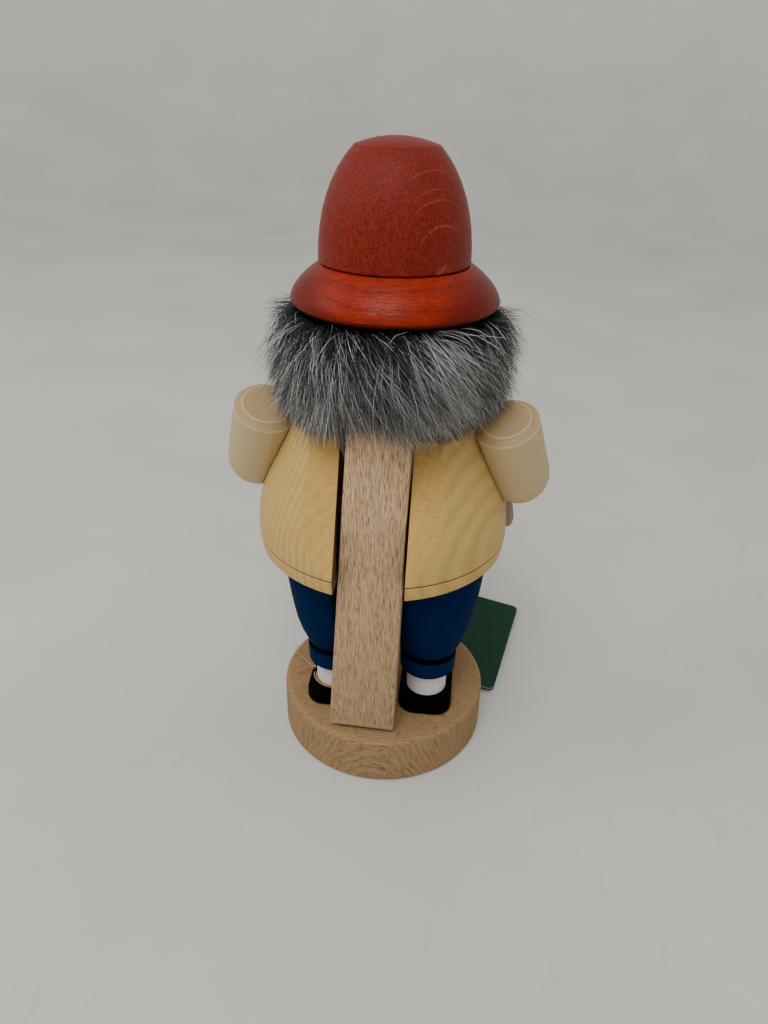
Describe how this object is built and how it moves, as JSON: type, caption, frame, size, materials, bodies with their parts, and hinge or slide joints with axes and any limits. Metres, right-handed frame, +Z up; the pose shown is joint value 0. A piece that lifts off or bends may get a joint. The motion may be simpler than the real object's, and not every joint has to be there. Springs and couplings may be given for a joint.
{
  "type": "wooden nutcracker figure",
  "caption": "Turned wooden figure standing on a round foot: a lever down its back is hinged in the head and works the lower jaw, which cracks a nut in the mouth.",
  "frame": {"origin": "centre of the round foot's underside, on the table", "axes": "+Z up; the figure faces -Y and its left hand is on +X"},
  "size_m": [0.131, 0.1421, 0.2447],
  "materials": {
    "beech": "bare sanded beech with dark flecks",
    "maple": "pale wood under satin lacquer",
    "arm_wood": "pale wood under thin satin lacquer",
    "red_stain": "red stain and satin lacquer over wood",
    "navy_paint": "matt navy paint on wood",
    "black_lacquer": "gloss black lacquer on wood",
    "white_paint": "white paint on wood",
    "brown_stain": "brown stain and lacquer",
    "grey_pile": "long grey pile, dark at the roots",
    "green_card": "matt green card, white at its cut edges",
    "gold_thread": "twisted gold thread"
  },
  "bodies": {
    "figure": {"base": "beech", "shoe_left": "black_lacquer", "shoe_right": "black_lacquer", "sock_left": "white_paint", "sock_right": "white_paint", "leg_dowel_left": "beech", "leg_dowel_right": "beech", "trouser_leg_left": "navy_paint", "trouser_leg_right": "navy_paint", "jacket": "maple", "button_1": "brown_stain", "button_2": "brown_stain", "button_3": "brown_stain", "arm_dowel_left": "beech", "arm_dowel_right": "beech", "upper_arm_left": "arm_wood", "upper_arm_right": "arm_wood", "forearm_left": "arm_wood", "forearm_right": "arm_wood", "hand_left": "arm_wood", "hand_right": "arm_wood", "staff": "beech", "head": "arm_wood", "nose": "arm_wood", "hair": "grey_pile", "pivot_pin": "beech", "hat_brim": "red_stain", "hat_crown": "red_stain", "hat_dowel": "beech", "swing_tag": "green_card", "tag_thread": "gold_thread", "thread_knot": "gold_thread"},
    "lever": {"lever": "beech", "beard": "grey_pile"}
  },
  "joints": [
    {"name": "lever_hinge", "type": "hinge", "parent": "figure", "child": "lever", "pos_m": [0.0003, 0.014, 0.15705], "axis": [0.9993, 0, 0.0366], "range_deg": [0, 25]}
  ]
}
